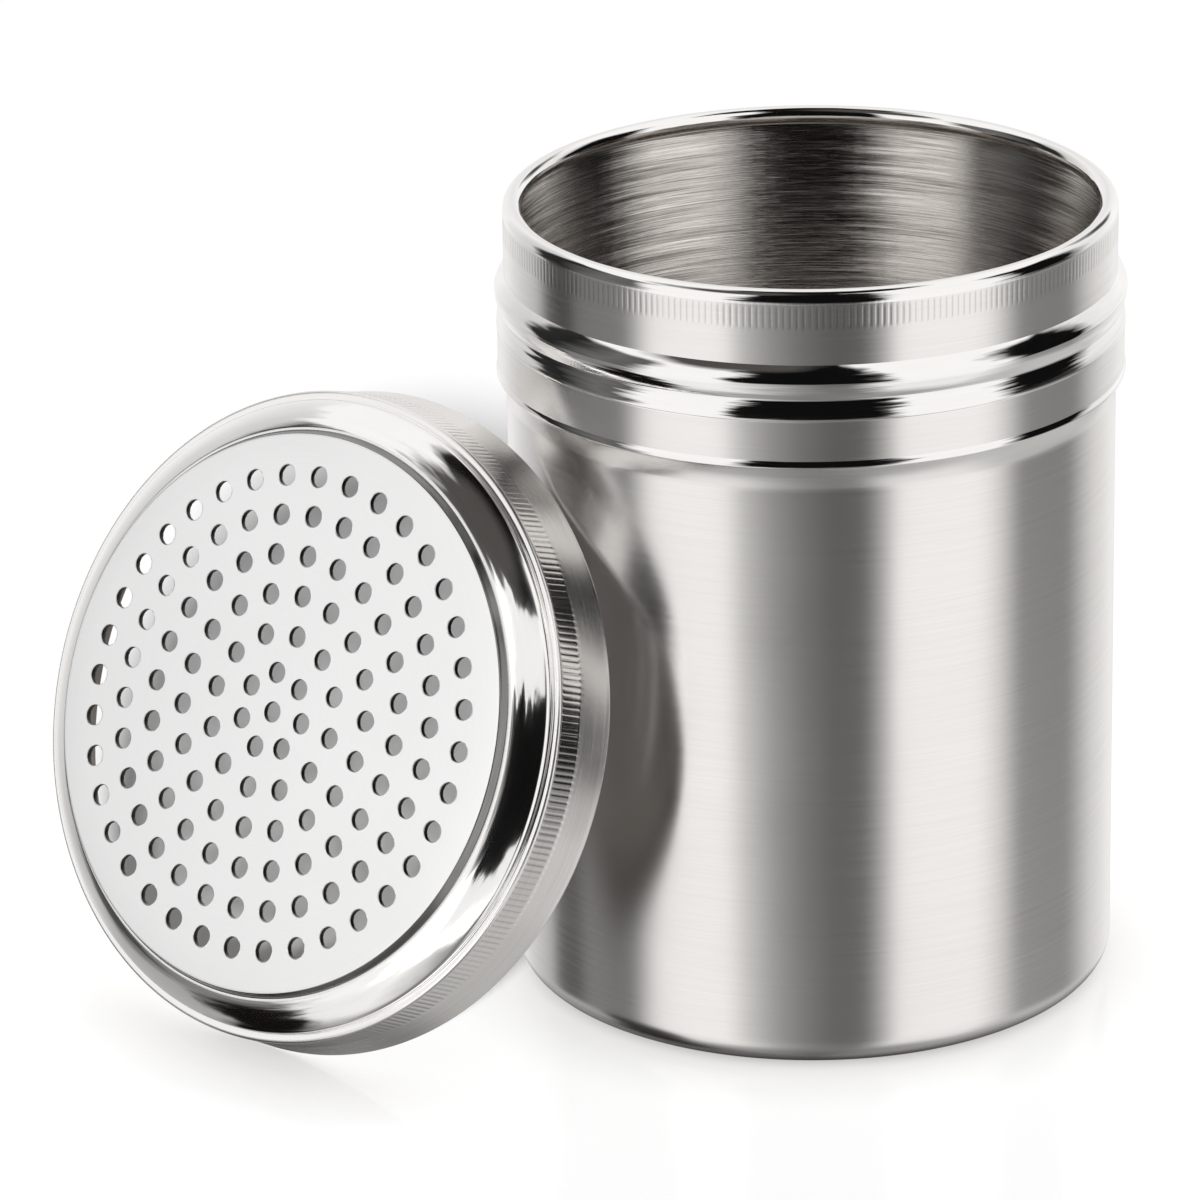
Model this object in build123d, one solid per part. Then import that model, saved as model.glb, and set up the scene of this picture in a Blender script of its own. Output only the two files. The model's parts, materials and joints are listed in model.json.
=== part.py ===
from build123d import *
import math
import os

# Spice dredge: a round sheet-metal can with a rolled rim and two snap beads, and its perforated
# slip-on lid. The lid is off: it stands on its lip and leans on the can.
# Millimetres, +Z up, origin at the centre of the can's base.

# Can
can_radius = 35.0            # outside of the plain wall
can_height = 93.5            # base to the top of the rolled rim
can_wall = 0.6
base_corner_radius = 3.3     # outside round between base and wall
rim_roll_radius = 1.1        # outside radius of the curl
rim_roll_turn = 250.0        # degrees that the sheet curls through
neck_step = 0.1              # neck stands out from the wall
neck_height = 8.45           # rim top down to the upper bead
bead_crest_step = 1.2        # upper bead's crest stands out from the wall
bead_crest_drop = 1.75       # neck's foot down to the crest
bead_slope_bow = 0.12        # how far the slope between them bulges
valley_step = 0.72           # valley between the beads stands out from the wall
valley_drop = 2.1            # crest down to the valley
lower_bead_step = 1.04       # lower bead's foot stands out from the wall
lower_bead_height = 2.45
lower_bead_bow = 0.04        # how far the lower bead bulges
band_step = 0.96             # band stands out from the wall
band_height = 4.7
edge_bead_height = 0.95      # small bead under the band
edge_bead_bow = 0.25
cove_step = 0.74             # cove's top stands out from the wall
cove_height = 2.6
cove_bow = 0.19              # how far the cove is hollowed

# Lid
lid_wall = 0.7
lid_clearance = 0.8          # skirt's inside to the upper bead's crest, at the knurl's foot
lip_height = 4.6             # plain flared band next to the lip
lip_flare = 0.6              # lip stands out from the knurl's foot
knurl_height = 3.2
knurl_draft = 0.3            # knurl's top is this much smaller than its foot
ledge_radius = 0.4           # round on top of the knurl
ledge_width = 1.1            # knurl's top in to the groove at the shoulder's foot
shoulder_width = 3.5
shoulder_height = 3.0
shoulder_bow = 0.2           # how far the shoulder bulges
shoulder_edge_width = 0.2    # tight round at the shoulder's foot
shoulder_edge_height = 0.75
ring_width = 0.4             # flat ring between the shoulder and the disc's step
step_width = 0.4             # slope of the disc's step
disc_step = 1.0              # disc stands above the ring
disc_dome = 0.8              # rise of the disc's middle above its edge

# Holes in the lid: one in the middle, then rings one pitch apart
hole_diameter = 2.4
hole_pitch = 4.53
hole_rings = 6
first_ring_holes = 7
holes_per_ring = 6           # each later ring has this many holes times its number
pattern_turn = 9.0           # degrees, anticlockwise on the face, from the lid's highest side

# How the lid leans
lid_elevation = 22.9         # degrees that the lid's axis points above the horizontal
lid_azimuth = -128.7         # degrees, compass direction of the lid's axis, from +X towards +Y
lid_bearing = -163.6         # degrees, direction from the can's axis to the middle of the lip
lean_gap = 0.3               # lip to the can

cut_margin = 1.0             # tools reach this far past what they cut

# Worked out from the sizes above
neck_radius = can_radius + neck_step
bead_crest_radius = can_radius + bead_crest_step
valley_radius = can_radius + valley_step
lower_bead_radius = can_radius + lower_bead_step
band_radius = can_radius + band_step
cove_radius = can_radius + cove_step
neck_foot_z = can_height - neck_height
bead_crest_z = neck_foot_z - bead_crest_drop
valley_z = bead_crest_z - valley_drop
band_top_z = valley_z - lower_bead_height
band_foot_z = band_top_z - band_height
cove_top_z = band_foot_z - edge_bead_height
cove_foot_z = cove_top_z - cove_height

knurl_foot_radius = bead_crest_radius + lid_clearance + lid_wall
knurl_top_radius = knurl_foot_radius - knurl_draft
lip_radius = knurl_foot_radius + lip_flare
groove_radius = knurl_top_radius - ledge_width
ring_radius = groove_radius - shoulder_width
step_radius = ring_radius - ring_width
disc_radius = step_radius - step_width
knurl_top_z = lip_height + knurl_height
ledge_z = knurl_top_z + ledge_radius
ring_z = ledge_z + shoulder_height
disc_edge_z = ring_z + disc_step
lid_depth = disc_edge_z + disc_dome


def polar(centre, radius, degrees):
    """A point on a circle in the profile plane."""
    angle = math.radians(degrees)
    return (centre[0] + radius * math.cos(angle), centre[1] + radius * math.sin(angle))


def bowed(start, end, bow):
    """Arc from start to end. bow is its height over the chord, to the right of travel."""
    across, up = end[0] - start[0], end[1] - start[1]
    chord = math.hypot(across, up)
    middle_x = (start[0] + end[0]) / 2 + bow * up / chord
    middle_z = (start[1] + end[1]) / 2 - bow * across / chord
    return ThreePointArc(start, (middle_x, middle_z), end)


def upright(start, end):
    """Arc from start out to end, upright at its end."""
    across, up = end[0] - start[0], end[1] - start[1]
    radius = (across ** 2 + up ** 2) / (2 * across)
    half_turn = math.asin(up / radius) / 2
    inset = radius * (1 - math.cos(half_turn))
    return ThreePointArc(start, (end[0] - inset, end[1] - radius * math.sin(half_turn)), end)


def dome(radius, edge_z, rise):
    """Arc of a shallow dome, from its edge in to the axis."""
    sphere = (radius ** 2 + rise ** 2) / (2 * rise)
    middle_z = edge_z + rise - sphere + math.sqrt(sphere ** 2 - (radius / 2) ** 2)
    return ThreePointArc((radius, edge_z), (radius / 2, middle_z), (0, edge_z + rise))


def turned(edges):
    """Solid of revolution about Z from the edges of a closed profile of (radius, height)."""
    return revolve(Plane.XZ * make_face(edges), Axis.Z, 360)


def can_outside():
    """Edges from the middle of the base, up the outside, to the start of the rim's curl."""
    corner = (can_radius - base_corner_radius, base_corner_radius)
    wall_foot = (can_radius, base_corner_radius)
    cove_foot = (can_radius, cove_foot_z)
    cove_top = (cove_radius, cove_top_z)
    band_foot = (band_radius, band_foot_z)
    band_top = (band_radius, band_top_z)
    bead_foot = (lower_bead_radius, band_top_z)
    valley = (valley_radius, valley_z)
    crest = (bead_crest_radius, bead_crest_z)
    neck_foot = (neck_radius, neck_foot_z)
    return [
        Line((0, 0), (corner[0], 0)),
        ThreePointArc((corner[0], 0), polar(corner, base_corner_radius, -45), wall_foot),
        Line(wall_foot, cove_foot),
        bowed(cove_foot, cove_top, -cove_bow),
        bowed(cove_top, band_foot, edge_bead_bow),
        Polyline(band_foot, band_top, bead_foot),
        bowed(bead_foot, valley, lower_bead_bow),
        upright(valley, crest),
        bowed(crest, neck_foot, bead_slope_bow),
        Line(neck_foot, (neck_radius, can_height - rim_roll_radius)),
    ]


def rim_curl():
    """Edges of the sheet's curl, out over the rim and back to the neck's inside."""
    middle = (neck_radius - rim_roll_radius, can_height - rim_roll_radius)
    inner = rim_roll_radius - can_wall
    half_turn = rim_roll_turn / 2
    outside = [polar(middle, rim_roll_radius, turn) for turn in (0, half_turn, rim_roll_turn)]
    inside = [polar(middle, inner, turn) for turn in (rim_roll_turn, half_turn, 0)]
    return [
        ThreePointArc(*outside),
        Line(outside[-1], inside[0]),
        ThreePointArc(*inside),
    ]


def can_inside():
    """Edges from the neck's inside, down the smooth inside wall, to the middle of the floor."""
    inner_radius = can_radius - can_wall
    inner_corner = base_corner_radius - can_wall
    corner = (inner_radius - inner_corner, base_corner_radius)
    wall = [
        (neck_radius - can_wall, can_height - rim_roll_radius),
        (neck_radius - can_wall, neck_foot_z),
        (inner_radius, cove_foot_z),
        (inner_radius, base_corner_radius),
    ]
    floor_edge = (corner[0], can_wall)
    return [
        Polyline(*wall),
        ThreePointArc(wall[-1], polar(corner, inner_corner, -45), floor_edge),
        Polyline(floor_edge, (0, can_wall), (0, 0)),
    ]


def make_can():
    """The can, standing on its base."""
    return turned(can_outside() + rim_curl() + can_inside())


def lid_outside():
    """Edges from the lip up the outside to the middle of the disc."""
    ledge_middle = (knurl_top_radius - ledge_radius, knurl_top_z)
    knurl_top = (knurl_top_radius, knurl_top_z)
    ledge_edge = (ledge_middle[0], ledge_z)
    groove = (groove_radius, ledge_z)
    shoulder_edge = (groove_radius - shoulder_edge_width, ledge_z + shoulder_edge_height)
    ring_edge = (ring_radius, ring_z)
    edge_bow = shoulder_edge_width / 2
    return [
        Polyline((lip_radius, 0), (knurl_foot_radius, lip_height), knurl_top),
        ThreePointArc(knurl_top, polar(ledge_middle, ledge_radius, 45), ledge_edge),
        Line(ledge_edge, groove),
        bowed(groove, shoulder_edge, edge_bow),
        bowed(shoulder_edge, ring_edge, shoulder_bow),
        Polyline(ring_edge, (step_radius, ring_z), (disc_radius, disc_edge_z)),
        dome(disc_radius, disc_edge_z, disc_dome),
    ]


def lid_inside():
    """Edges from under the middle of the disc back down the inside to the lip."""
    disc_under = (disc_radius - lid_wall, disc_edge_z - lid_wall)
    step_under = (step_radius - lid_wall, ring_z - lid_wall)
    ring_under = (ring_radius, ring_z - lid_wall)
    shoulder_foot = (groove_radius - lid_wall, ledge_z)
    skirt = [
        shoulder_foot,
        (shoulder_foot[0], ledge_z - lid_wall),
        (knurl_top_radius - lid_wall, ledge_z - lid_wall),
        (knurl_foot_radius - lid_wall, lip_height),
        (lip_radius - lid_wall, 0),
        (lip_radius, 0),
    ]
    return [
        Line((0, lid_depth), (0, lid_depth - lid_wall)),
        dome(*disc_under, disc_dome),
        Polyline(disc_under, step_under, ring_under),
        bowed(ring_under, shoulder_foot, -shoulder_bow),
        Polyline(*skirt),
    ]


def ring_of_holes(number):
    """Circles of one ring; later rings straddle the pattern's own up direction."""
    count = first_ring_holes if number == 1 else holes_per_ring * number
    start = 0.0 if number == 1 else 180.0 / count
    places = PolarLocations(number * hole_pitch, count, start_angle=pattern_turn + start)
    return [place * Circle(hole_diameter / 2) for place in places]


def hole_cutter():
    """Pins through the disc, one for each hole."""
    circles = [Circle(hole_diameter / 2)]
    for number in range(1, hole_rings + 1):
        circles += ring_of_holes(number)
    under = disc_edge_z - lid_wall - cut_margin
    height = lid_depth + cut_margin - under
    return [extrude(Pos(0, 0, under) * circle, height) for circle in circles]


def make_lid():
    """The lid with its lip on the XY plane and its perforated face up."""
    shell = turned(lid_outside() + lid_inside())
    return shell.cut(*hole_cutter())


def lid_axis():
    """Unit vector along which the perforated face looks."""
    elevation = math.radians(lid_elevation)
    azimuth = math.radians(lid_azimuth)
    flat = math.cos(elevation)
    return Vector(flat * math.cos(azimuth), flat * math.sin(azimuth), math.sin(elevation))


def lid_plane(distance):
    """Plane of the lip, with x to its highest point and its lowest on the ground."""
    axis = lid_axis()
    uphill = (Vector(0, 0, 1) - axis * axis.Z).normalized()
    bearing = math.radians(lid_bearing)
    middle = Vector(
        distance * math.cos(bearing),
        distance * math.sin(bearing),
        lip_radius * uphill.Z,
    )
    return Plane(origin=middle, x_dir=uphill, z_dir=axis)


def can_radius_at(height):
    """The can's outside radius, with the cove taken as a cone and the beads at their widest."""
    if height <= cove_foot_z:
        return can_radius
    if height <= cove_top_z:
        return can_radius + band_step * (height - cove_foot_z) / cove_height
    return bead_crest_radius


def lip_clearance(distance):
    """Smallest horizontal gap between the lip's edge and the can."""
    plane = lid_plane(distance)
    middle, uphill, level = (tuple(v) for v in (plane.origin, plane.x_dir, plane.y_dir))
    gaps = []
    for step in range(720):
        along = lip_radius * math.cos(math.radians(step / 2))
        across = lip_radius * math.sin(math.radians(step / 2))
        x, y, z = (m + along * u + across * v for m, u, v in zip(middle, uphill, level))
        gaps.append(math.hypot(x, y) - can_radius_at(z))
    return min(gaps)


def leaning_plane():
    """Plane of the lip once the lid has slid in to lean on the can."""
    near, far = can_radius, can_radius + 3 * lip_radius
    for _ in range(30):
        middle = (near + far) / 2
        if lip_clearance(middle) < lean_gap:
            near = middle
        else:
            far = middle
    return lid_plane(far)


os.makedirs("parts", exist_ok=True)
lid_place = leaning_plane()
lid_middle = lid_place.origin
print(f"lip middle {lid_middle.X:.3f} {lid_middle.Y:.3f} {lid_middle.Z:.3f}")
print(f"lid axis {lid_place.z_dir.X:.6f} {lid_place.z_dir.Y:.6f} {lid_place.z_dir.Z:.6f}")
export_step(make_can(), "parts/can.step")
export_step(lid_place.location * make_lid(), "parts/lid.step")
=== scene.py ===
import json
import math
import bpy
import numpy as np
from mathutils import Matrix, Vector
from mathutils.geometry import delaunay_2d_cdt


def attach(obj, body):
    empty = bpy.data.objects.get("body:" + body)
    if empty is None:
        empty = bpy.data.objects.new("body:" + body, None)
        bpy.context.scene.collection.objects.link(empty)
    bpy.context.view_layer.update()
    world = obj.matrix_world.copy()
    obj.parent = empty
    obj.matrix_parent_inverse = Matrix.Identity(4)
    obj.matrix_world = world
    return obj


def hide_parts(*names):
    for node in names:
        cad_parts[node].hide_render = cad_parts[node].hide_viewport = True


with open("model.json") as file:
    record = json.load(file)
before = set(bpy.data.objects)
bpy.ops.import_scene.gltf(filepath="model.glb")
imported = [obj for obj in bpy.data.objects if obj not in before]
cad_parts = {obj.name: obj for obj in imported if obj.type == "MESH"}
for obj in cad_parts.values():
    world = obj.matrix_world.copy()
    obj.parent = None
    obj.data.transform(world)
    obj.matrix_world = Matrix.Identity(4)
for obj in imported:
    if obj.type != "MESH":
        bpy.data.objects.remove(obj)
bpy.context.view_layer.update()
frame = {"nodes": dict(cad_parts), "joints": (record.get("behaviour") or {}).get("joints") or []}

# A spice dredge: a round steel can and its perforated lid, which leans on it.
# Profiles are in millimetres, as (radius, height); meshes and places are in metres.
MM = 0.001

# Finishes of the can, in the order of its material slots
BRUSHED, POLISHED, SATIN, INSIDE = range(4)
# Finishes of the lid, in the order of its material slots
FACE, STEP, MIRROR, SKIRT, UNDER, HOLE, KNURL = range(7)

# Can. A step is how far a place stands out from the plain wall.
CAN_RADIUS = 35.0
CAN_HEIGHT = 93.5
CAN_WALL = 0.6
BASE_ROUND = 3.3
ROLL_RADIUS = 1.1
ROLL_TURN = 250.0
NECK_STEP = 0.1
NECK_HEIGHT = 8.45
BEAD_CREST_STEP = 1.2
BEAD_CREST_DROP = 1.75
BEAD_SLOPE_BOW = 0.12
VALLEY_STEP = 0.72
VALLEY_DROP = 2.1
LOWER_BEAD_STEP = 1.04
LOWER_BEAD_HEIGHT = 2.45
LOWER_BEAD_BOW = 0.04
BAND_STEP = 0.96
BAND_HEIGHT = 4.7
EDGE_BEAD_HEIGHT = 0.95
EDGE_BEAD_STEP = 1.12
EDGE_BEAD_CREST_DROP = 0.62
EDGE_BEAD_BOW = 0.12
COVE_STEP = 0.74
COVE_HEIGHT = 2.6
COVE_BOW = 0.10
NECK_TICKS = 300
NECK_TICK_COLUMNS = 5
NECK_TICK_DEPTH = 0.02
NECK_TICK_FOOT = 89.2
NECK_TICK_TOP = 92.0

# Lid. Heights are from the lip.
LID_WALL = 0.7
LIP_RADIUS = 38.3
KNURL_FOOT = (37.7, 4.6)
KNURL_TOP = (37.4, 7.8)
LEDGE_ROUND = 0.4
GROOVE_RADIUS = 36.3
SHOULDER_EDGE = (36.1, 8.95)
SHOULDER_BOW = 0.2
RING_RADIUS = 32.8
RING_HEIGHT = 11.2
STEP_RADIUS = 32.4
DISC_RADIUS = 32.0
DISC_EDGE = 12.2
DISC_DOME = 0.8
KNURL_TICKS = 312
KNURL_TICK_COLUMNS = 6
KNURL_TICK_DEPTH = 0.055

# Holes. Collar and apron are how far two rings of mesh points stand out from a hole.
HOLE_RADIUS = 1.2
HOLE_EDGE = 0.05
HOLE_COLLAR = 0.07
HOLE_APRON = 0.6
HOLE_PITCH = 4.53
HOLE_RINGS = 6
HOLE_POINTS = 28
PATTERN_TURN = 9.0

# Studio. Reaches and sizes are in metres, and angles in degrees.
CONTACT_REACH = 0.012
SEAT_REACH = 0.0025
FLOOR_REACH = 4.0
FLOOR_DROP = 0.00005
FLOOR_GLOSS = 0.07
FLOOR_FILL = 0.13
FLOOR_KEY = 0.89
KEY_UP = 21.0
KEY_SPREAD = 5.0
LID_LIGHT_REACH = 0.5
BLACK_PANEL = (0.006, 0.005, 0.0045)
GREY_PANEL = (0.085, 0.080, 0.076)

# Finish. The grooves' colour is mixed this far towards a dark colour, as painted shade in the grooves. The
# brush turn is in whole turns.
PAINTED_GROOVE_SHADE = 0.35
GROOVE_SHADE_COLOUR = (0.1, 0.09, 0.08)
BRUSH_TURN = 0.25

# Camera: where it stands in mm, how it is turned in degrees, and its lens in mm
CAMERA_PLACE = (0, -780.6, 345.5)
CAMERA_YAW = -1.81
CAMERA_PITCH = 21.106
CAMERA_ROLL = -0.933
CAMERA_LENS = 215.615
CAMERA_SENSOR = 36.0


# ---------------------------------------------------------------- profiles

def arc(start, end, bow, steps):
    """Points after start on an arc to end. bow is its height over the chord, to the right of travel."""
    start, end = np.array(start, float), np.array(end, float)
    shares = np.linspace(0, 1, steps + 1)[1:, None]
    if bow == 0:
        return start + (end - start) * shares
    chord = end - start
    half = np.hypot(*chord) / 2
    right = np.array([chord[1], -chord[0]]) / (2 * half)
    radius = (half ** 2 + bow ** 2) / (2 * bow)
    middle = (start + end) / 2 + right * (bow - radius)
    swing = 2 * math.asin(half / abs(radius)) * math.copysign(1, bow)
    spoke = start - middle
    angles = swing * shares[:, 0]
    turned = [
        (
            spoke[0] * math.cos(a) - spoke[1] * math.sin(a),
            spoke[0] * math.sin(a) + spoke[1] * math.cos(a),
        )
        for a in angles
    ]
    return middle + np.array(turned)


def trace(start, stretches):
    """Profile points and the finish of each stretch between them."""
    points, finishes = [np.array(start, float)], []
    for radius, height, bow, steps, finish in stretches:
        new = arc(points[-1], (radius, height), bow, steps)
        points.extend(new)
        finishes.extend([finish] * steps)
    return np.array(points), finishes


def quarter_bow(radius):
    """Height of a quarter circle over its chord."""
    return radius * (1 - math.cos(math.pi / 4))


def curl(finish_outside, finish_inside):
    """Stretches of the rim's curl, from the top of the neck over the rim and back to its inside."""
    middle = (CAN_RADIUS + NECK_STEP - ROLL_RADIUS, CAN_HEIGHT - ROLL_RADIUS)
    stretches = []
    rows = ((ROLL_RADIUS, range(20, int(ROLL_TURN) + 1, 10), finish_outside),
            (ROLL_RADIUS - CAN_WALL, range(int(ROLL_TURN), -1, -25), finish_inside))
    for radius, turns, finish in rows:
        for turn in turns:
            a = math.radians(turn)
            point = (middle[0] + radius * math.cos(a), middle[1] + radius * math.sin(a))
            stretches.append((*point, 0, 1, finish))
    return stretches


def upright_bow(start, end):
    """Bow of an arc that is upright at its wider end."""
    across, up = abs(end[0] - start[0]), abs(end[1] - start[1])
    radius = (across ** 2 + up ** 2) / (2 * across)
    return radius - math.sqrt(radius ** 2 - (across ** 2 + up ** 2) / 4)


def can_profile():
    """The can's wall, from the middle of its base over the rim to the middle of its floor."""
    inside = CAN_RADIUS - CAN_WALL
    corner = CAN_RADIUS - BASE_ROUND
    neck = CAN_RADIUS + NECK_STEP
    neck_foot = CAN_HEIGHT - NECK_HEIGHT
    crest = (CAN_RADIUS + BEAD_CREST_STEP, neck_foot - BEAD_CREST_DROP)
    valley = (CAN_RADIUS + VALLEY_STEP, crest[1] - VALLEY_DROP)
    band_top = valley[1] - LOWER_BEAD_HEIGHT
    band = CAN_RADIUS + BAND_STEP
    band_foot = band_top - BAND_HEIGHT
    cove_top = (CAN_RADIUS + COVE_STEP, band_foot - EDGE_BEAD_HEIGHT)
    cove_foot = cove_top[1] - COVE_HEIGHT
    return trace((0, 0), [
        (corner - 0.6, 0, 0, 8, BRUSHED),
        (corner, 0, 0, 1, BRUSHED),
        (CAN_RADIUS, BASE_ROUND, quarter_bow(BASE_ROUND), 14, BRUSHED),
        (CAN_RADIUS, BASE_ROUND + 0.5, 0, 1, BRUSHED),
        (CAN_RADIUS, cove_foot - 0.5, 0, 14, BRUSHED),
        (CAN_RADIUS, cove_foot, 0, 1, BRUSHED),
        (*cove_top, -COVE_BOW, 10, SATIN),
        (CAN_RADIUS + EDGE_BEAD_STEP, band_foot - EDGE_BEAD_CREST_DROP, EDGE_BEAD_BOW, 8, POLISHED),
        (band, band_foot, 0.02, 5, POLISHED),
        (band, band_foot + 0.1, 0, 1, POLISHED),
        (band, band_top - 0.1, 0, 6, BRUSHED),
        (band, band_top, 0, 1, POLISHED),
        (CAN_RADIUS + LOWER_BEAD_STEP, band_top + 0.12, 0.02, 3, POLISHED),
        (*valley, LOWER_BEAD_BOW, 12, POLISHED),
        (*crest, upright_bow(valley, crest), 14, POLISHED),
        (neck, neck_foot, BEAD_SLOPE_BOW, 14, POLISHED),
        (neck, neck_foot + 0.15, 0, 1, BRUSHED),
        (neck, NECK_TICK_FOOT - 0.3, 0, 6, BRUSHED),
        (neck, NECK_TICK_FOOT, 0, 1, BRUSHED),
        (neck, NECK_TICK_TOP, 0, 8, BRUSHED),
        (neck, CAN_HEIGHT - ROLL_RADIUS, 0, 1, POLISHED),
        *curl(POLISHED, INSIDE),
        (neck - CAN_WALL, neck_foot, 0, 6, INSIDE),
        (inside, neck_foot - 2.0, 0, 3, INSIDE),
        (inside, BASE_ROUND, 0, 30, INSIDE),
        (corner, CAN_WALL, quarter_bow(BASE_ROUND - CAN_WALL), 8, INSIDE),
        (0, CAN_WALL, 0, 12, INSIDE),
    ])


def lid_profile():
    """The lid's skirt, from the top of its disc's edge round the lip to the disc's underside."""
    ledge_z = KNURL_TOP[1] + LEDGE_ROUND
    disc_edge = DISC_RADIUS - 0.4
    return trace((disc_edge, dome_height(disc_edge)), [
        (DISC_RADIUS - 0.05, DISC_EDGE - 0.02, 0, 2, FACE),
        (DISC_RADIUS + 0.08, DISC_EDGE - 0.2, -0.03, 4, STEP),
        (STEP_RADIUS, RING_HEIGHT + 0.12, 0, 3, STEP),
        (STEP_RADIUS + 0.12, RING_HEIGHT + 0.02, 0.03, 3, STEP),
        (RING_RADIUS, RING_HEIGHT, -0.02, 3, FACE),
        (*SHOULDER_EDGE, -SHOULDER_BOW, 24, MIRROR),
        (GROOVE_RADIUS, ledge_z, -0.1, 6, MIRROR),
        (GROOVE_RADIUS + 0.12, ledge_z - 0.06, 0.03, 3, MIRROR),
        (KNURL_TOP[0] - LEDGE_ROUND, ledge_z, -0.02, 3, MIRROR),
        (*KNURL_TOP, -quarter_bow(LEDGE_ROUND), 6, SKIRT),
        (KNURL_TOP[0] + 0.02, KNURL_TOP[1] - 0.15, 0, 1, SKIRT),
        (KNURL_FOOT[0] - 0.02, KNURL_FOOT[1] + 0.15, 0, 10, KNURL),
        (*KNURL_FOOT, 0, 1, SKIRT),
        (LIP_RADIUS - 0.03, 0.35, 0, 8, SKIRT),
        (LIP_RADIUS, 0.15, -0.01, 2, SKIRT),
        (LIP_RADIUS - 0.15, 0, -0.06, 4, MIRROR),
        (LIP_RADIUS - LID_WALL + 0.15, 0, 0, 1, MIRROR),
        (LIP_RADIUS - LID_WALL, 0.15, -0.06, 4, MIRROR),
        (KNURL_FOOT[0] - LID_WALL, KNURL_FOOT[1], 0, 5, UNDER),
        (KNURL_TOP[0] - LID_WALL, ledge_z - LID_WALL, 0, 4, UNDER),
        (GROOVE_RADIUS - LID_WALL, ledge_z - LID_WALL, 0, 3, UNDER),
        (GROOVE_RADIUS - LID_WALL, ledge_z, 0, 2, UNDER),
        (RING_RADIUS, RING_HEIGHT - LID_WALL, SHOULDER_BOW, 10, UNDER),
        (STEP_RADIUS - LID_WALL, RING_HEIGHT - LID_WALL, 0, 3, UNDER),
        (DISC_RADIUS - LID_WALL - 0.1, DISC_EDGE - LID_WALL - 0.1, 0, 3, UNDER),
        (DISC_RADIUS - LID_WALL - 0.3, dome_height(DISC_RADIUS - LID_WALL - 0.3) - LID_WALL, 0, 1, UNDER),
    ])


def dome_height(radius):
    """Height of the disc's domed top at a radius."""
    sphere = (DISC_RADIUS ** 2 + DISC_DOME ** 2) / (2 * DISC_DOME)
    return DISC_EDGE + DISC_DOME - sphere + np.sqrt(sphere ** 2 - np.asarray(radius, float) ** 2)


# ---------------------------------------------------------------- meshes

def tick_depth(column, columns_per_tick, ticks, flank, seed):
    """How deep each column of a row of ticks lies, from 0 to 1, with ticks a little unequal.

    flank is how deep the columns beside a tick's middle lie.
    """
    cross = np.zeros(columns_per_tick)
    cross[[-1, 0, 1]] = flank, 1.0, flank
    strength = np.random.default_rng(seed).uniform(0.6, 1.0, ticks)
    return cross[column % columns_per_tick] * strength[column // columns_per_tick]


def spun(points, columns, dent):
    """Vertices, rings of vertex numbers and dents in mm of a profile spun about Z."""
    angles = np.arange(columns) * (2 * math.pi / columns)
    vertices, rings, dents, count = [], [], [], 0
    for row, (radius, height) in enumerate(points):
        if radius < 1e-6:
            vertices.append(np.array([[0, 0, height]]))
            dents.append(np.zeros(1))
            rings.append(np.full(columns, count))
            count += 1
            continue
        dents.append(dent(np.arange(columns), radius, height))
        radii = radius - dents[-1]
        ring = np.stack([radii * np.cos(angles), radii * np.sin(angles), np.full(columns, height)], 1)
        vertices.append(ring)
        rings.append(np.arange(count, count + columns))
        count += columns
    return np.concatenate(vertices), rings, np.concatenate(dents)


def skin(rings, finishes):
    """Faces between neighbouring rings, with their finishes."""
    faces, marks = [], []
    for lower, upper, finish in zip(rings, rings[1:], finishes):
        quads = np.stack([lower, np.roll(lower, -1), np.roll(upper, -1), upper], 1)
        if lower[0] == lower[1]:
            quads = quads[:, 1:]
        elif upper[0] == upper[1]:
            quads = quads[:, :3]
        faces.extend(quads.tolist())
        marks.extend([finish] * len(quads))
    return faces, marks


def make_piece(name, vertices, faces, marks, dents, materials, place, body, node):
    """A smooth-shaded piece that rides on a body and stands for its CAD node."""
    mesh = bpy.data.meshes.new(name)
    mesh.from_pydata((vertices * MM).tolist(), [], faces)
    own_place = mesh.attributes.new("own_place", "FLOAT_VECTOR", "POINT")
    own_place.data.foreach_set("vector", (vertices * MM).ravel())
    reach = np.maximum(np.hypot(vertices[:, 0], vertices[:, 1]), 1e-6)[:, None]
    around = np.stack([-vertices[:, 1], vertices[:, 0], np.zeros(len(vertices))], 1) / reach
    brush_way = mesh.attributes.new("brush_way", "FLOAT_VECTOR", "POINT")
    brush_way.data.foreach_set("vector", (around @ np.array(place.to_3x3()).T).ravel())
    sunk = mesh.attributes.new("sunk", "FLOAT", "POINT")
    sunk.data.foreach_set("value", dents / dents.max())
    mesh.polygons.foreach_set("material_index", np.array(marks, np.int32))
    mesh.polygons.foreach_set("use_smooth", np.ones(len(faces), bool))
    for material in materials:
        mesh.materials.append(material)
    mesh.transform(place)
    mesh.update()
    mesh.set_sharp_from_angle(angle=math.radians(40))
    piece = bpy.data.objects.new(name, mesh)
    bpy.context.scene.collection.objects.link(piece)
    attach(piece, body)
    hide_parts(node)
    return piece


def neck_dent(column, radius, height):
    """Fine upright ticks under the rim."""
    if radius < CAN_RADIUS or not NECK_TICK_FOOT < height < NECK_TICK_TOP:
        return np.zeros(len(column))
    return NECK_TICK_DEPTH * tick_depth(column, NECK_TICK_COLUMNS, NECK_TICKS, 0.0, 3)


def knurl_dent(column, radius, height):
    """Short grooves along the axis round the knurled band."""
    outside = radius > KNURL_TOP[0] - 0.01
    if not outside or not KNURL_FOOT[1] + 0.1 < height < KNURL_TOP[1] - 0.1:
        return np.zeros(len(column))
    return KNURL_TICK_DEPTH * tick_depth(column, KNURL_TICK_COLUMNS, KNURL_TICKS, 0.2, 5)


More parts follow.
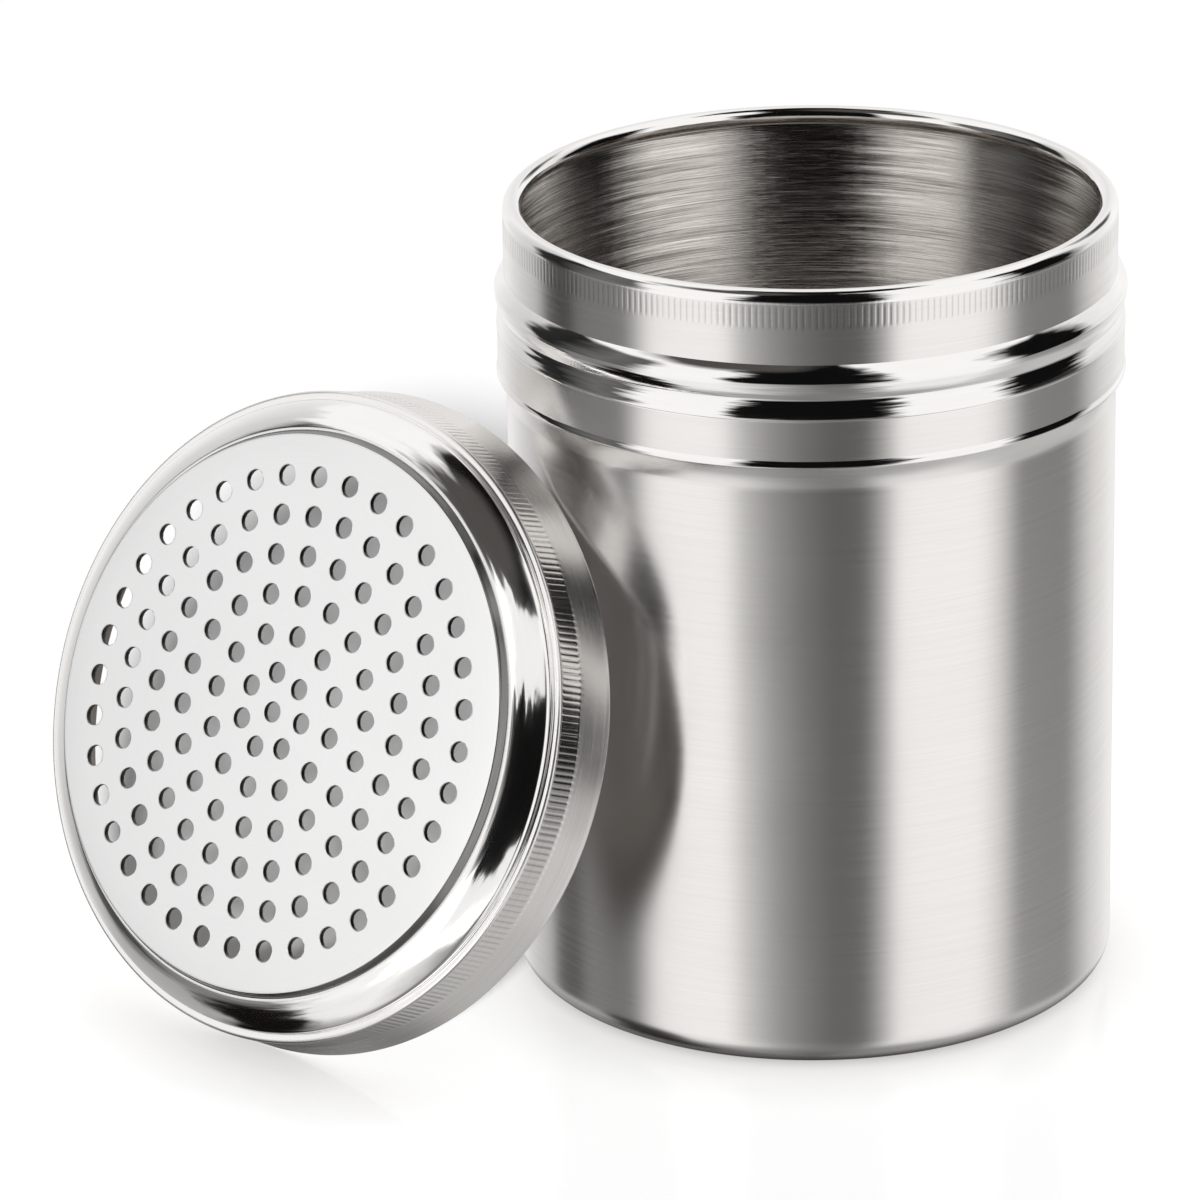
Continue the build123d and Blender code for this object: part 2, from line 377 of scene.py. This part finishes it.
def hole_centres():
    """Middles of the lid's holes: one, then rings; later rings straddle the pattern's up direction."""
    centres = [(0.0, 0.0)]
    for ring in range(1, HOLE_RINGS + 1):
        count = 7 if ring == 1 else 6 * ring
        half_step = 0.0 if ring == 1 else 0.5
        for k in range(count):
            a = math.radians(PATTERN_TURN) + 2 * math.pi * (k + half_step) / count
            centres.append((ring * HOLE_PITCH * math.cos(a), ring * HOLE_PITCH * math.sin(a)))
    return np.array(centres)


def circle(centre, radius, points):
    """Points on a circle, anticlockwise."""
    a = np.arange(points) * (2 * math.pi / points)
    return np.stack([centre[0] + radius * np.cos(a), centre[1] + radius * np.sin(a)], 1)


def disc_mesh(edge_xy):
    """Points and triangles of the perforated disc seen flat, and each hole's ring of point numbers."""
    centres = hole_centres()
    flat = [edge_xy]
    loops = [np.arange(len(edge_xy))]
    count = len(edge_xy)
    for centre in centres:
        flat.append(circle(centre, HOLE_RADIUS + HOLE_EDGE, HOLE_POINTS))
        loops.append(np.arange(count, count + HOLE_POINTS))
        count += HOLE_POINTS
    constraints = [(int(a), int(b)) for loop in loops for a, b in zip(loop, np.roll(loop, -1))]
    for centre in centres:
        flat.append(circle(centre, HOLE_RADIUS + HOLE_EDGE + HOLE_COLLAR, HOLE_POINTS))
        flat.append(circle(centre, HOLE_RADIUS + HOLE_APRON, HOLE_POINTS // 2))
    flat = np.concatenate(flat)
    points = [Vector((float(x), float(y))) for x, y in flat]
    found = delaunay_2d_cdt(points, constraints, [], 0, 1e-7)
    new_xy = np.array([[v.x, v.y] for v in found[0]])
    old = np.array([numbers[0] for numbers in found[3]])
    triangles = old[np.array(found[2])]
    middles = new_xy[np.array(found[2])].mean(1)
    gaps = np.hypot(*(middles[:, None] - centres[None]).transpose(2, 0, 1)).min(1)
    return flat, triangles[gaps > HOLE_RADIUS + HOLE_EDGE * 0.5], loops[1:], centres


def make_lid(materials, place):
    """The lid as one closed mesh: the spun skirt, and the perforated disc sewn into it."""
    points, finishes = lid_profile()
    columns = KNURL_TICKS * KNURL_TICK_COLUMNS
    vertices, rings, dents = spun(points, columns, knurl_dent)
    faces, marks = skin(rings, finishes)
    faces = [face[::-1] for face in faces]
    flat, triangles, loops, centres = disc_mesh(vertices[rings[0]][:, :2])
    inner = flat[columns:]
    heights = dome_height(np.hypot(*inner.T))
    base = len(vertices)
    top = np.column_stack([inner, heights])
    under = np.column_stack([inner, heights - LID_WALL])
    top_numbers = np.concatenate([rings[0], base + np.arange(len(inner))])
    under_numbers = np.concatenate([rings[-1], base + len(inner) + np.arange(len(inner))])
    faces += top_numbers[triangles].tolist()
    marks += [FACE] * len(triangles)
    faces += under_numbers[triangles[:, ::-1]].tolist()
    marks += [UNDER] * len(triangles)
    parts = [vertices, top, under]
    count = base + 2 * len(inner)
    edge_turns = [math.radians(a) for a in (30, 60, 90)]
    for loop, centre in zip(loops, centres):
        previous = top_numbers[loop]
        height = dome_height(math.hypot(*centre))
        rows = [
            (HOLE_RADIUS + HOLE_EDGE * (1 - math.sin(a)), height - HOLE_EDGE * (1 - math.cos(a)))
            for a in edge_turns
        ]
        rows += [(HOLE_RADIUS, height - 0.3), (HOLE_RADIUS, height - LID_WALL + 0.1)]
        for number, (radius, level) in enumerate(rows):
            ring = np.column_stack([circle(centre, radius, HOLE_POINTS), np.full(HOLE_POINTS, level)])
            parts.append(ring)
            numbers = np.arange(count, count + HOLE_POINTS)
            count += HOLE_POINTS
            faces += np.stack([previous, np.roll(previous, -1), np.roll(numbers, -1), numbers], 1).tolist()
            marks += [FACE if number < len(edge_turns) else HOLE] * HOLE_POINTS
            previous = numbers
        last = under_numbers[loop]
        faces += np.stack([previous, np.roll(previous, -1), np.roll(last, -1), last], 1).tolist()
        marks += [HOLE] * HOLE_POINTS
    vertices = np.concatenate(parts)
    dents = np.concatenate([dents, np.zeros(len(vertices) - len(dents))])
    return make_piece(
        "lid_shell", vertices, faces, marks, dents, materials, place, "lid", "lid"
    )


def make_can(materials):
    """The can as one closed mesh."""
    points, finishes = can_profile()
    vertices, rings, dents = spun(points, NECK_TICKS * NECK_TICK_COLUMNS, neck_dent)
    faces, marks = skin(rings, finishes)
    return make_piece(
        "can_shell", vertices, faces, marks, dents, materials, Matrix(), "can", "can"
    )


def lid_place():
    """The lid's own frame: its lip's middle, z along the way its face looks, x uphill."""
    axis = Vector(frame["joints"][0]["axis"]).normalized()
    uphill = (Vector((0, 0, 1)) - axis * axis.z).normalized()
    level = axis.cross(uphill)
    spots = np.array([v.co for v in frame["nodes"]["lid"].data.vertices])
    along, up, across = (spots @ np.array(way) for way in (axis, uphill, level))
    middle = (
        axis * along.min()
        + uphill * ((up.min() + up.max()) / 2)
        + level * ((across.min() + across.max()) / 2)
    )
    return Matrix.Translation(middle) @ Matrix((uphill, level, axis)).transposed().to_4x4()


# ---------------------------------------------------------------- materials

class Nodes:
    """Adds nodes to a tree. An input is a value or another node's output."""

    def __init__(self, tree):
        self.tree = tree
        tree.nodes.clear()

    def add(self, kind, inputs=None, **settings):
        node = self.tree.nodes.new("ShaderNode" + kind)
        for key, value in settings.items():
            setattr(node, key, value)
        for key, value in (inputs or {}).items():
            if isinstance(value, bpy.types.NodeSocket):
                self.tree.links.new(value, node.inputs[key])
            else:
                node.inputs[key].default_value = value
        return node

    def maths(self, operation, a, b=0.0, c=0.0):
        return self.add("Math", {0: a, 1: b, 2: c}, operation=operation).outputs[0]

    def ramp(self, factor, stops, interpolation="LINEAR"):
        node = self.add("ValToRGB", {"Fac": factor})
        node.color_ramp.interpolation = interpolation
        elements = node.color_ramp.elements
        while len(elements) < len(stops):
            elements.new(0.5)
        for element, (place, colour) in zip(elements, stops):
            element.position = place
            element.color = (*colour, 1)
        return node.outputs["Color"]


def mix_colour(nodes, factor, a, b):
    """A mix of two colours."""
    node = nodes.add("Mix", data_type="RGBA")
    for socket, value in ((node.inputs[0], factor), (node.inputs[6], a), (node.inputs[7], b)):
        if isinstance(value, bpy.types.NodeSocket):
            nodes.tree.links.new(value, socket)
        else:
            socket.default_value = (*value, 1) if isinstance(value, tuple) else value
    return node.outputs[2]


def round_lines(nodes, stretch, per_metre, detail):
    """Noise in fine lines that run round the piece's own Z axis."""
    spot = nodes.add("Attribute", attribute_name="own_place").outputs["Vector"]
    parts = nodes.add("SeparateXYZ", {0: spot})
    flat = nodes.add("CombineXYZ", {0: parts.outputs[0], 1: parts.outputs[1], 2: 0.0}).outputs[0]
    reach = nodes.add("VectorMath", {0: flat}, operation="LENGTH").outputs["Value"]
    way = nodes.add("VectorMath", {0: flat}, operation="NORMALIZE").outputs[0]
    way = nodes.add("VectorMath", {0: way, "Scale": stretch}, operation="SCALE").outputs[0]
    level = nodes.maths("ADD", parts.outputs[2], reach)
    level = nodes.maths("MULTIPLY", level, per_metre)
    lift = nodes.add("CombineXYZ", {0: 0.0, 1: 0.0, 2: level}).outputs[0]
    where = nodes.add("VectorMath", {0: way, 1: lift}, operation="ADD").outputs[0]
    noise = nodes.add(
        "TexNoise", {"Vector": where, "Scale": 1.0, "Detail": detail, "Roughness": 0.6}
    )
    return noise.outputs["Fac"]


def cloud(nodes, per_metre, detail=2.0):
    """Soft round noise."""
    spot = nodes.add("Attribute", attribute_name="own_place").outputs["Vector"]
    noise = nodes.add("TexNoise", {"Vector": spot, "Scale": per_metre, "Detail": detail})
    return noise.outputs["Fac"]


def between(nodes, factor, low, high):
    """A number that goes from low to high as factor goes from 0.3 to 0.7."""
    return nodes.add(
        "MapRange",
        {"Value": factor, "From Min": 0.3, "From Max": 0.7, "To Min": low, "To Max": high},
    ).outputs["Result"]


def steel(name, dark, light, roughness, anisotropic, lines, bump, smudge=0.03, lean=0.0, ragged=0.0):
    """Steel with round brush lines.

    roughness is (low, high), lines is (stretch, per metre) and bump is (strength, height in mm).
    lean tips the brushed grooves' faces towards the piece's own up direction, and ragged turns
    each line's face a little round the piece, so that reflections end in streaks.
    """
    material = bpy.data.materials.new(name)
    material.use_nodes = True
    nodes = Nodes(material.node_tree)
    fine = round_lines(nodes, lines[0], lines[1], 3.0)
    broad = round_lines(nodes, lines[0] * 0.6, lines[1] * 0.22, 2.0)
    both = nodes.maths("ADD", nodes.maths("MULTIPLY", fine, 0.6), nodes.maths("MULTIPLY", broad, 0.4))
    worn = cloud(nodes, 60.0, 3.0)
    rough = between(nodes, both, *roughness)
    rough = nodes.maths("ADD", rough, between(nodes, worn, -smudge, smudge))
    shade = nodes.ramp(both, [(0.3, dark), (0.7, light)])
    # Painted shade: the colour is darkened where the mesh is sunk in the neck's and knurl's grooves.
    groove_shade_share = nodes.add("Attribute", attribute_name="sunk").outputs["Fac"]
    shade = mix_colour(nodes, nodes.maths("MULTIPLY", groove_shade_share, PAINTED_GROOVE_SHADE), shade, GROOVE_SHADE_COLOUR)
    height = nodes.add("Bump", {"Strength": bump[0], "Distance": bump[1] * MM, "Height": both})
    facing = height.outputs[0]
    way = nodes.add("Attribute", attribute_name="brush_way").outputs["Vector"]
    way = nodes.add(
        "VectorTransform", {0: way}, vector_type="VECTOR", convert_from="OBJECT", convert_to="WORLD"
    ).outputs[0]
    if lean or ragged:
        swing = nodes.maths("MULTIPLY", nodes.maths("SUBTRACT", both, 0.5), ragged)
        aside = nodes.add("VectorMath", {0: way, "Scale": swing}, operation="SCALE").outputs[0]
        facing = nodes.add("VectorMath", {0: facing, 1: aside}, operation="ADD").outputs[0]
        facing = nodes.add("VectorMath", {0: facing, 1: (0, 0, lean)}, operation="ADD").outputs[0]
        facing = nodes.add("VectorMath", {0: facing}, operation="NORMALIZE").outputs[0]
    shader = nodes.add("BsdfPrincipled", {
        "Base Color": shade,
        "Metallic": 1.0,
        "Roughness": rough,
        "Anisotropic": anisotropic,
        "Anisotropic Rotation": BRUSH_TURN,
        "Tangent": way,
        "Normal": facing,
    })
    nodes.add("OutputMaterial", {"Surface": shader.outputs[0]})
    return material


def can_materials():
    """Brushed wall, polished beads and rim, satin cove, and the coarser inside, whose colour runs from
    dark to bright along its brush lines as painted streaks of reflection and shade.
    """
    fine = (2.2, 9000)
    return [
        steel("can_brushed", (0.77, 0.755, 0.74), (0.85, 0.835, 0.82), (0.19, 0.25), 0.72,
              fine, (0.05, 0.012)),
        steel("can_polished", (0.84, 0.83, 0.82), (0.88, 0.87, 0.86), (0.05, 0.08), 0.3,
              (3.0, 3600), (0.5, 0.030), smudge=0.01, ragged=0.4),
        steel("can_satin", (0.80, 0.785, 0.77), (0.86, 0.845, 0.83), (0.20, 0.26), 0.3,
              fine, (0.04, 0.012), smudge=0.02),
        # Painted reflection and shade: the inside's colour runs from near black to bright along its brush
        # lines, for streaks of reflection.
        steel("can_inside_painted_streaks", (0.15, 0.13, 0.115), (0.93, 0.89, 0.85), (0.16, 0.24), 0.8,
              (3.0, 6500), (1.0, 0.08), smudge=0.02, lean=0.42, ragged=0.25),
    ]


def lid_materials():
    """Satin face, step painted dark as painted shade, mirror shoulder, brushed skirt, underside and hole
    walls painted dark as painted shade, bright knurl.
    """
    fine, dull = (2.2, 9000), (6.0, 3000)
    return [
        steel("lid_face", (0.84, 0.84, 0.84), (0.87, 0.87, 0.87), (0.40, 0.46), 0.0,
              (4.0, 4000), (0.02, 0.01), smudge=0.02),
        # Painted shade: the step round the disc gets a dark steel colour for the dark line that grazing
        # light makes there.
        steel("lid_step_painted_shade", (0.20, 0.195, 0.19), (0.28, 0.275, 0.27), (0.16, 0.22), 0.3,
              (8.0, 6000), (0.05, 0.01), smudge=0.02),
        steel("lid_mirror", (0.84, 0.83, 0.82), (0.89, 0.88, 0.87), (0.08, 0.12), 0.4,
              (3.0, 3200), (0.5, 0.030), smudge=0.01, ragged=0.45),
        steel("lid_skirt", (0.75, 0.73, 0.71), (0.84, 0.825, 0.81), (0.22, 0.28), 0.65,
              fine, (0.05, 0.012)),
        # Painted shade: the underside is coloured much darker than the steel outside, for the shade in the
        # lid's hollow.
        steel("lid_under_painted_shade", (0.20, 0.185, 0.17), (0.28, 0.26, 0.245), (0.32, 0.42), 0.3,
              dull, (0.1, 0.02)),
        # Painted shade: the hole walls are near black, for the shade seen through the holes.
        steel("lid_hole_painted_shade", (0.030, 0.026, 0.023), (0.05, 0.045, 0.04), (0.32, 0.42), 0.0,
              dull, (0.1, 0.02)),
        steel("lid_knurl", (0.72, 0.70, 0.68), (0.84, 0.825, 0.81), (0.12, 0.17), 0.2,
              fine, (0.05, 0.012)),
    ]


# ---------------------------------------------------------------- studio

def side(degrees):
    """Place on the world's side ramp of a direction, in degrees to the right of the front."""
    return (degrees + 180) / 360


def direction(side_degrees, up_degrees):
    """Unit vector to a place in the room: degrees to the right of the front, and degrees up."""
    turn, lift = math.radians(side_degrees), math.radians(up_degrees)
    return (math.sin(turn) * math.cos(lift), -math.cos(turn) * math.cos(lift), math.sin(lift))


def spot(nodes, way, place, radius, soft):
    """1 inside a round patch of the room and 0 outside. radius and soft are in degrees."""
    near = nodes.add("VectorMath", {0: way, 1: place}, operation="DOT_PRODUCT").outputs["Value"]
    return nodes.add("MapRange", {
        "Value": near,
        "From Min": math.cos(math.radians(radius + soft)),
        "From Max": math.cos(math.radians(radius - soft)),
    }).outputs["Result"]


def grey_stops(*stops):
    """Stops of a side ramp from pairs of degrees to the right of the front and brightness."""
    return [(side(degrees), (level, level * 0.99, level * 0.98)) for degrees, level in stops]


def above(nodes, height, degrees, soft):
    """0 below a height in the room and 1 above it. height is a sine; degrees and soft are degrees."""
    return nodes.add("MapRange", {
        "Value": height,
        "From Min": math.sin(math.radians(degrees - soft)),
        "From Max": math.sin(math.radians(degrees + soft)),
    }).outputs["Result"]


def make_world():
    """White for the eye, a dim fill for matt surfaces, and bright and dark panels for reflections."""
    world = bpy.data.worlds.new("studio")
    bpy.context.scene.world = world
    world.use_nodes = True
    world.cycles.sampling_method = "NONE"
    nodes = Nodes(world.node_tree)
    look = nodes.add("TexCoord").outputs["Generated"]
    way = nodes.add("SeparateXYZ", {0: look})
    back = nodes.maths("MULTIPLY", way.outputs[1], -1.0)
    turn = nodes.maths("ARCTAN2", way.outputs[0], back)
    turn = nodes.maths("MULTIPLY_ADD", turn, 1 / (2 * math.pi), 0.5)
    wall_view = nodes.ramp(turn, grey_stops(
        (-180, 0.90), (-156, 0.95), (-136, 0.70), (-122, 0.55), (-116, 0.10), (-104, 0.06),
        (-97, 0.22), (-74, 0.28), (-64, 1.00), (-58, 1.08), (-34, 1.08), (-26, 0.80),
        (-15, 0.46), (-4, 0.27), (8, 0.16), (20, 0.16), (26, 0.50), (33, 1.08), (66, 1.08),
        (78, 0.75), (86, 0.32), (114, 0.28), (122, 0.45), (134, 0.75), (156, 0.95), (180, 0.90),
    ))
    floor_view = nodes.ramp(turn, grey_stops(
        (-180, 0.25), (-168, 0.35), (-156, 0.75), (-138, 0.50), (-102, 0.42), (-92, 0.20),
        (-74, 0.30), (-64, 0.95), (-34, 1.00), (-24, 0.75), (-15, 0.48), (-4, 0.30), (8, 0.20),
        (20, 0.20), (26, 0.50), (33, 0.95), (66, 0.95), (78, 0.70), (90, 0.55), (140, 0.60),
        (160, 0.50), (180, 0.25),
    ))
    under_view = nodes.ramp(turn, grey_stops(
        (-180, 0.20), (-150, 0.35), (-100, 0.30), (-68, 0.27), (-50, 0.48), (-30, 0.36),
        (-4, 0.22), (16, 0.22), (35, 0.33), (70, 0.50), (90, 0.62), (140, 0.52), (165, 0.30),
        (180, 0.20),
    ))
    bead_view = nodes.ramp(turn, grey_stops(
        (-180, 0.90), (-156, 1.00), (-136, 0.80), (-122, 0.70), (-116, 0.03), (-104, 0.02),
        (-92, 0.10), (-80, 0.16), (-68, 0.12), (-60, 1.08), (-31, 1.08), (-25, 0.005),
        (24, 0.005), (28, 0.08), (33, 1.08), (70, 1.08), (79, 0.005), (110, 0.005), (120, 0.90),
        (150, 1.08), (180, 0.90),
    ))
    high_view = nodes.ramp(turn, grey_stops(
        (-180, 1.00), (-150, 1.08), (-30, 1.08), (-25, 0.005), (24, 0.005), (31, 1.08),
        (150, 1.08), (180, 1.00),
    ))
    top_view = nodes.ramp(turn, grey_stops(
        (-180, 1.08), (-74, 1.08), (-66, 0.02), (104, 0.02), (114, 1.08), (180, 1.08),
    ))
    height = way.outputs[2]
    room = under_view
    layers = (
        (floor_view, -50, 4), (wall_view, -29, 3), (bead_view, -15, 3), (high_view, 40, 2.5),
        (top_view, 71, 2.5),
    )
    for view, degrees, soft in layers:
        room = mix_colour(nodes, above(nodes, height, degrees, soft), room, view)
    patches = (
        (direction(0, 90), 18, 2.5, BLACK_PANEL),
        (direction(-45, 64), 19, 5.0, GREY_PANEL),
        (direction(-79, -43), 14, 2.5, BLACK_PANEL),
        (direction(-103, -60), 12, 2.5, BLACK_PANEL),
        (direction(149, 25), 9, 4.0, GREY_PANEL),
    )
    for place, radius, soft, colour in patches:
        room = mix_colour(nodes, spot(nodes, look, place, radius, soft), room, colour)
    path = nodes.add("LightPath")
    plain = mix_colour(nodes, path.outputs["Is Diffuse Ray"], (1.0, 1.0, 1.0), (FLOOR_FILL,) * 3)
    seen = mix_colour(nodes, path.outputs["Is Glossy Ray"], plain, room)
    light = nodes.add("Background", {"Color": seen, "Strength": 1.0})
    nodes.add("OutputWorld", {"Surface": light.outputs[0]})


def make_lid_light(name, way, width, height, level, receivers):
    """A soft panel that only the lid sees. way is where it stands in the room; sizes are in degrees."""
    data = bpy.data.lights.new(name, "AREA")
    data.shape = "ELLIPSE" if width == height else "RECTANGLE"
    data.size = 2 * LID_LIGHT_REACH * math.tan(math.radians(width / 2))
    data.size_y = 2 * LID_LIGHT_REACH * math.tan(math.radians(height / 2))
    fill = math.pi / 4 if width == height else 1.0
    data.energy = math.pi * fill * data.size * data.size_y * level
    lamp = bpy.data.objects.new(name, data)
    aim = Vector(direction(*way))
    lamp.location = lid_place() @ Vector((0, 0, DISC_EDGE * MM)) + aim * LID_LIGHT_REACH
    lamp.rotation_euler = aim.to_track_quat("Z", "Y").to_euler()
    bpy.context.scene.collection.objects.link(lamp)
    lamp.light_linking.receiver_collection = receivers
    lamp.light_linking.blocker_collection = receivers
    lamp.visible_camera = False


def make_lid_lights(lid):
    """Panels that only the lid sees: for its face, the top and foot of its shoulder, and its skirt."""
    receivers = bpy.data.collections.new("lid_light_receivers")
    receivers.objects.link(lid)
    make_lid_light("face_light", (-79, 16), 57.6, 57.6, 0.86, receivers)
    make_lid_light("shoulder_light", (-2, 44), 44, 22, 1.0, receivers)
    make_lid_light("sill_light", (-12, -17), 60, 22, 1.0, receivers)
    make_lid_light("skirt_light", (102, 11), 11, 11, 1.0, receivers)


def make_floor():
    """A white floor with real shadows and painted contact shade, and a sun that lights only the floor.

    Reflections pass through it to the room's panels, apart from a dark shade where a piece stands.
    """
    mesh = bpy.data.meshes.new("floor")
    corners = [(x * FLOOR_REACH, y * FLOOR_REACH, 0) for x, y in ((-1, -1), (1, -1), (1, 1), (-1, 1))]
    mesh.from_pydata(corners, [], [(0, 1, 2, 3)])
    floor = bpy.data.objects.new("floor", mesh)
    floor.location.z = -FLOOR_DROP
    bpy.context.scene.collection.objects.link(floor)
    material = bpy.data.materials.new("floor")
    material.use_nodes = True
    nodes = Nodes(material.node_tree)
    # Painted contact shade: the floor's colour darkens towards grey near the pieces, by ambient occlusion.
    near = nodes.add("AmbientOcclusion", {"Distance": CONTACT_REACH}).outputs["AO"]
    colour = mix_colour(nodes, near, (0.62, 0.61, 0.60), (1.0, 1.0, 1.0))
    matt = nodes.add("BsdfDiffuse", {"Color": colour})
    gloss = nodes.add("BsdfGlossy", {"Color": (1, 1, 1, 1), "Roughness": 0.12})
    pale = nodes.add("MixShader", {0: FLOOR_GLOSS, 1: matt.outputs[0], 2: gloss.outputs[0]})
    seat = nodes.add("AmbientOcclusion", {"Distance": SEAT_REACH}).outputs["AO"]
    shade = nodes.add("BsdfDiffuse", {"Color": (0.02, 0.02, 0.02, 1)})
    clear = nodes.add("BsdfTransparent")
    mirrored = nodes.add("MixShader", {0: seat, 1: shade.outputs[0], 2: clear.outputs[0]})
    glossy = nodes.add("LightPath").outputs["Is Glossy Ray"]
    shown = nodes.add("MixShader", {0: glossy, 1: pale.outputs[0], 2: mirrored.outputs[0]})
    nodes.add("OutputMaterial", {"Surface": shown.outputs[0]})
    mesh.materials.append(material)
    receivers = bpy.data.collections.new("floor_light_receivers")
    receivers.objects.link(floor)
    data = bpy.data.lights.new("floor_sun", "SUN")
    data.angle = math.radians(KEY_SPREAD)
    data.energy = math.pi * FLOOR_KEY / math.sin(math.radians(KEY_UP))
    sun = bpy.data.objects.new("floor_sun", data)
    sun.rotation_euler = Vector(direction(0, KEY_UP)).to_track_quat("Z", "Y").to_euler()
    bpy.context.scene.collection.objects.link(sun)
    sun.light_linking.receiver_collection = receivers
    sun.visible_glossy = False


def make_camera():
    """The camera: where it stands, where it looks, and its lens."""
    place = Vector(CAMERA_PLACE) * MM
    yaw, pitch, roll = (math.radians(turn) for turn in (CAMERA_YAW, CAMERA_PITCH, CAMERA_ROLL))
    ahead = Vector((math.sin(yaw) * math.cos(pitch), math.cos(yaw) * math.cos(pitch), -math.sin(pitch)))
    right = Vector((math.cos(yaw), -math.sin(yaw), 0))
    up = right.cross(ahead)
    right_rolled = right * math.cos(roll) + up * math.sin(roll)
    up_rolled = up * math.cos(roll) - right * math.sin(roll)
    data = bpy.data.cameras.new("camera")
    data.sensor_width = CAMERA_SENSOR
    data.lens = CAMERA_LENS
    data.clip_start = 0.01
    camera = bpy.data.objects.new("camera", data)
    camera.matrix_world = (
        Matrix.Translation(place) @ Matrix((right_rolled, up_rolled, -ahead)).transposed().to_4x4()
    )
    bpy.context.scene.collection.objects.link(camera)
    bpy.context.scene.camera = camera


make_can(can_materials())
shell = make_lid(lid_materials(), lid_place())
make_world()
make_lid_lights(shell)
make_floor()
make_camera()
bpy.context.scene.view_settings.view_transform = "Standard"
